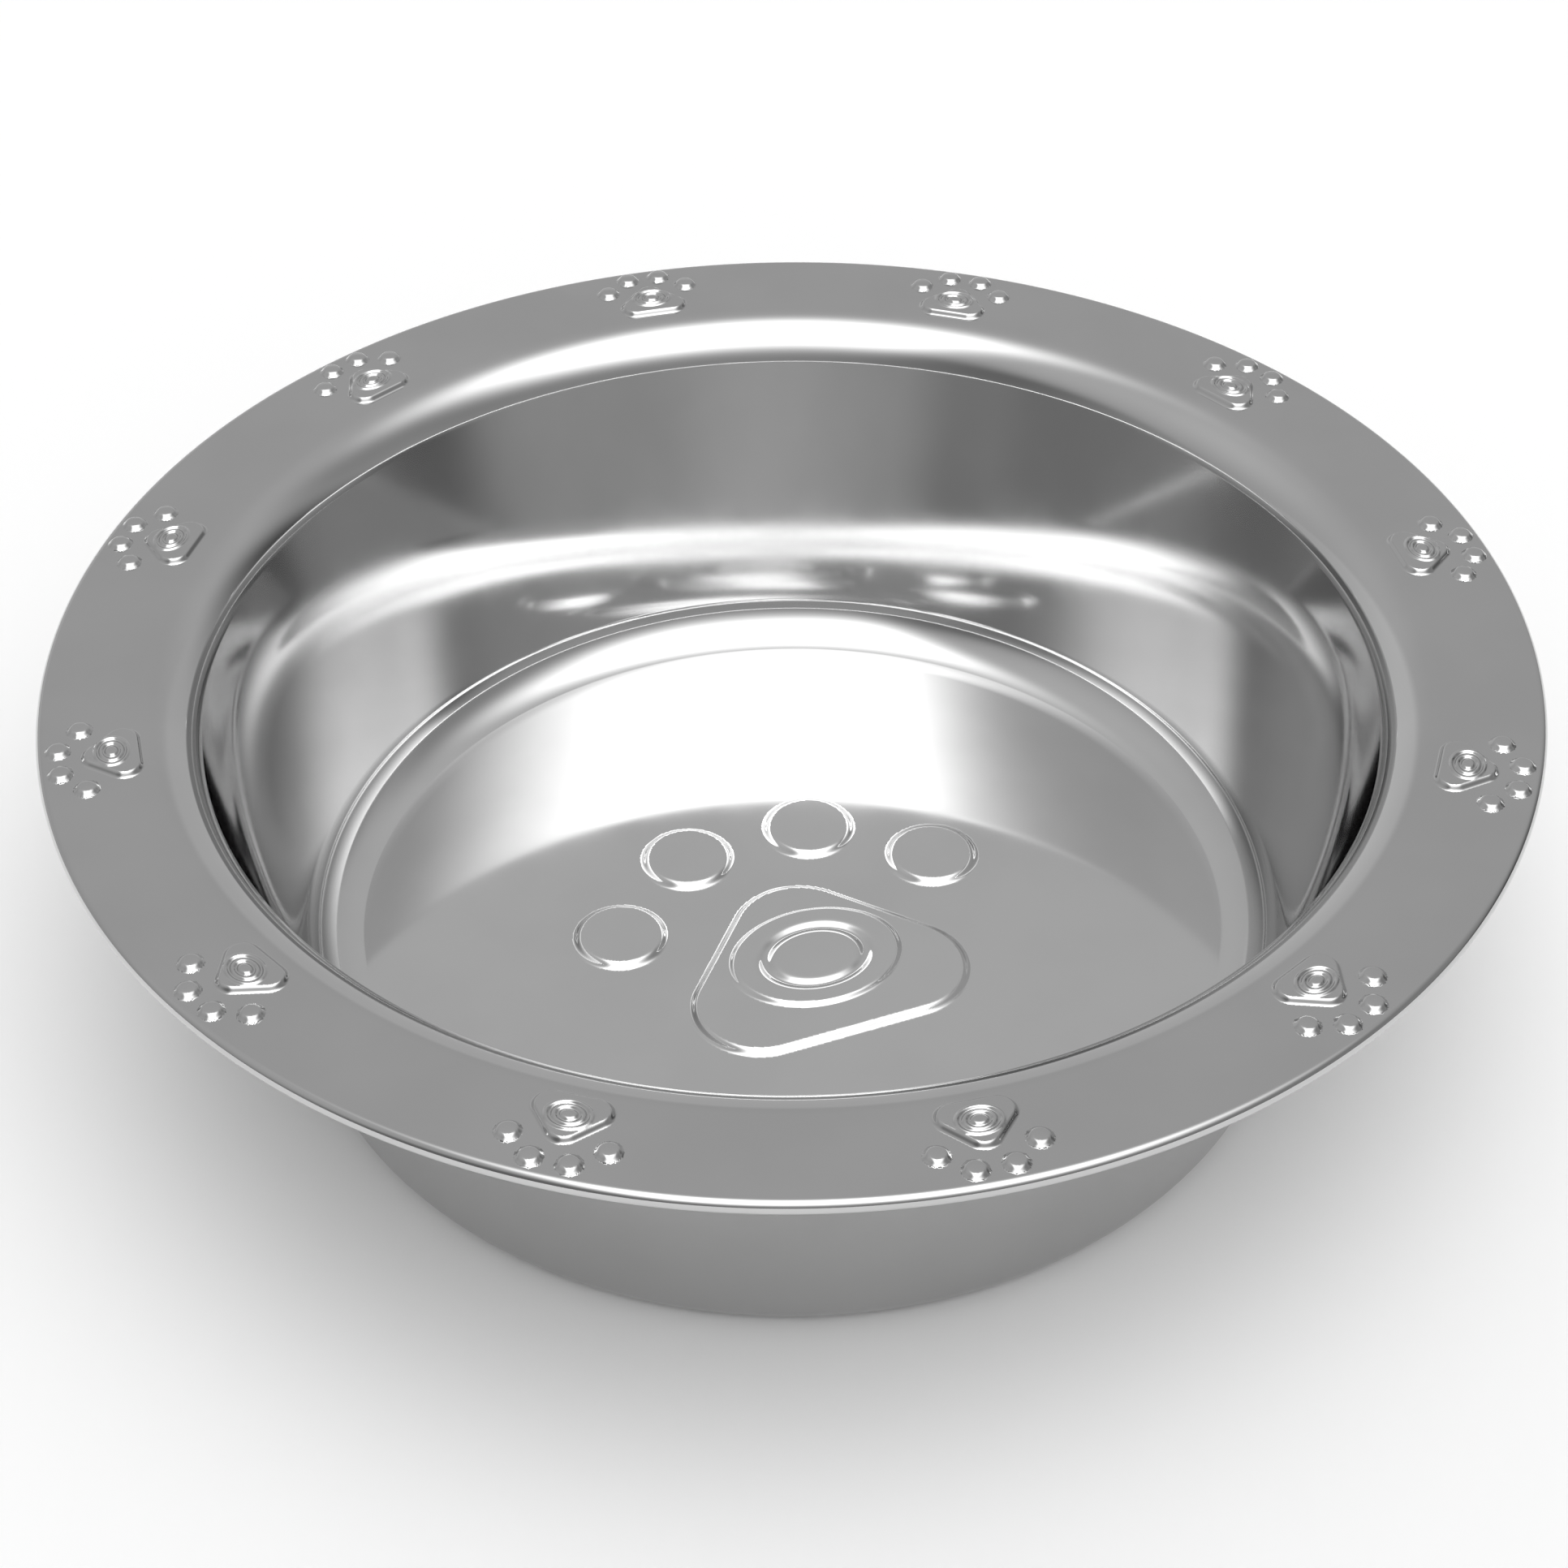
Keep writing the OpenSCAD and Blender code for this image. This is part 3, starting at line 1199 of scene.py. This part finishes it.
@dataclass(frozen=True)
class Studio:
    """Grey room with one wide soft light overhead, and a pale floor. Angles are in degrees.

    The grey changes with X, Y and Z and with the squares of X and Y. The room glows a little low down on
    the far side. Overhead and behind the camera it is a little dimmer, and skewed to be brighter on the
    left. It has a dim corner on the left behind the camera, and is dim low down on the far right. Under
    the horizon it turns into an even pale ground.
    """

    grey: float = 0.459
    grey_x: float = -0.014
    grey_y: float = 0.068
    grey_z: float = 0.054
    grey_xx: float = -0.065
    grey_yy: float = -0.06
    light: Patch = Patch(2.85, Reach(108.9, 29.3, 32.3, 2.5), Reach(-2.5, 17.5, 38.5, 3.3))
    glow: float = 0.12
    glow_over: tuple[float, float] = (24.5, 32.5)
    glow_aside: Reach = Reach(-17.0, 50.0, 36.0)
    dim: float = 0.9
    dim_lean: float = -1.73
    dim_soft: float = 0.35
    skew: float = -0.22
    corner: Patch = Patch(0.55, Reach(155.0, 17.0, 40.0), Reach(-40.0, 30.0, 30.0))
    right_dim: float = 0.85
    right_aside: tuple[float, float] = (32.0, 75.0)
    right_lean: float = -0.9
    right_far: tuple[float, float] = (-0.27, 0.32)
    ground: float = 0.9
    ground_soft: float = 0.02
    floor_r: float = 30.0
    floor_sides: int = 96
    floor: PaleFloor = PaleFloor("floor_white")

    def _room(self, shader: Shader, way: Direction) -> bpy.types.NodeSocket:
        """Adds the room's grey, with the glow on its far side.

        Args:
            shader: The world's nodes.
            way: The direction.

        Returns:
            The socket of the brightness.
        """
        room = shader.math("MULTIPLY_ADD", way.x, self.grey_x, self.grey)
        for value, share in ((way.y, self.grey_y), (way.z, self.grey_z)):
            room = shader.math("MULTIPLY_ADD", value, share, room)
        for value, share in ((way.x, self.grey_xx), (way.y, self.grey_yy)):
            room = shader.math("MULTIPLY_ADD", shader.math("MULTIPLY", value, value), share, room)
        glow = shader.ramp(way.over, *self.glow_over, self.glow, 0.0)
        return shader.math("MULTIPLY_ADD", shader.kept(self.glow_aside.fade(shader, way.aside)), glow, room)

    def _dimmed(self, shader: Shader, way: Direction, room: bpy.types.NodeSocket) -> bpy.types.NodeSocket:
        """Dims the room overhead, in the corner behind the camera and on the far right.

        Args:
            shader: The world's nodes.
            way: The direction.
            room: The room's brightness.

        Returns:
            The socket of the brightness that is left.
        """
        overhead = shader.math("MULTIPLY_ADD", way.y, self.dim_lean, way.z)
        soft = (-self.dim_soft, self.dim_soft)
        room = shader.math("MULTIPLY", room, shader.ramp(overhead, *soft, 1.0, self.dim))
        skewed = shader.ramp(overhead, *soft, 0.0, self.skew)
        room = shader.math("MULTIPLY_ADD", shader.math("MULTIPLY", way.x, way.z), skewed, room)
        corner = shader.math("MULTIPLY_ADD", self.corner.share(shader, way), -self.corner.strength, 1.0)
        room = shader.math("MULTIPLY", room, corner)
        far = shader.math("MULTIPLY_ADD", way.z, self.right_lean, way.y)
        aside = shader.ramp(way.aside, *self.right_aside)
        right = shader.math("MULTIPLY", aside, shader.ramp(far, *self.right_far))
        return shader.math("MULTIPLY", room, shader.math("MULTIPLY_ADD", right, -self.right_dim, 1.0))

    def build_world(self) -> None:
        """Makes the room's light, the same for every kind of ray."""
        world = bpy.data.worlds.new("room")
        bpy.context.scene.world = world
        world.use_nodes = True
        shader = Shader(world.node_tree)
        way = Direction.of(shader)
        room = self._dimmed(shader, way, self._room(shader, way))
        light = shader.math("MULTIPLY", self.light.share(shader, way), self.light.strength)
        bright = shader.math("ADD", room, light)
        under = shader.ramp(way.z, -self.ground_soft, 0.0, 1.0, 0.0)
        change = shader.math("MULTIPLY", under, shader.math("SUBTRACT", self.ground, bright))
        background = shader.node("ShaderNodeBackground")
        shader.put(background.inputs["Color"], shader.grey(shader.math("ADD", bright, change)))
        shader.put(background.inputs["Strength"], 1.0)
        shader.output("ShaderNodeOutputWorld", background)

    def build_floor(self) -> bpy.types.Object:
        """Makes the floor, a wide disc that the bowl stands on.

        Returns:
            The floor.
        """
        turns = even_turn(self.floor_sides)
        places = [(self.floor_r * math.cos(t), self.floor_r * math.sin(t), 0.0) for t in turns]
        mesh = bpy.data.meshes.new("floor")
        mesh.from_pydata(places, [], [tuple(range(len(places)))])
        mesh.materials.append(self.floor.build())
        made = bpy.data.objects.new("floor", mesh)
        bpy.context.scene.collection.objects.link(made)
        return made


def main() -> None:
    """Builds the bowl, the studio and the camera."""
    logging.basicConfig(level=logging.INFO, format="%(name)s: %(message)s")
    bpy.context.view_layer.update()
    sizes = BowlSizes()
    # Painted shade: the shell's steel is darker than the bowl's, 0.45 against 0.575, to stand in for the
    # shade under the rim; its rougher satin finish is real.
    shaded_satin_steel = PolishedSteel("steel_shell_painted_shade", grey=0.45, lit_well_grey=0.45, roughness=0.2)
    parts = (
        (InnerBowl(sizes), PolishedSteel("polished_steel_bowl_painted_well_light")),
        (OuterShell(sizes), shaded_satin_steel),
        (BaseRing(sizes), MattRubber("black_rubber")),
    )
    for part, finish in parts:
        piece = part.build()
        part.dress(piece, finish)
        LOG.info("%s: %d faces", piece.name, len(piece.data.polygons))
    studio = Studio()
    studio.build_world()
    studio.build_floor()
    ViewCamera(sizes.rim_r * MM, sizes.rim_h * MM).build()
    bpy.context.scene.view_settings.view_transform = "Standard"


if __name__ == "__main__":
    main()
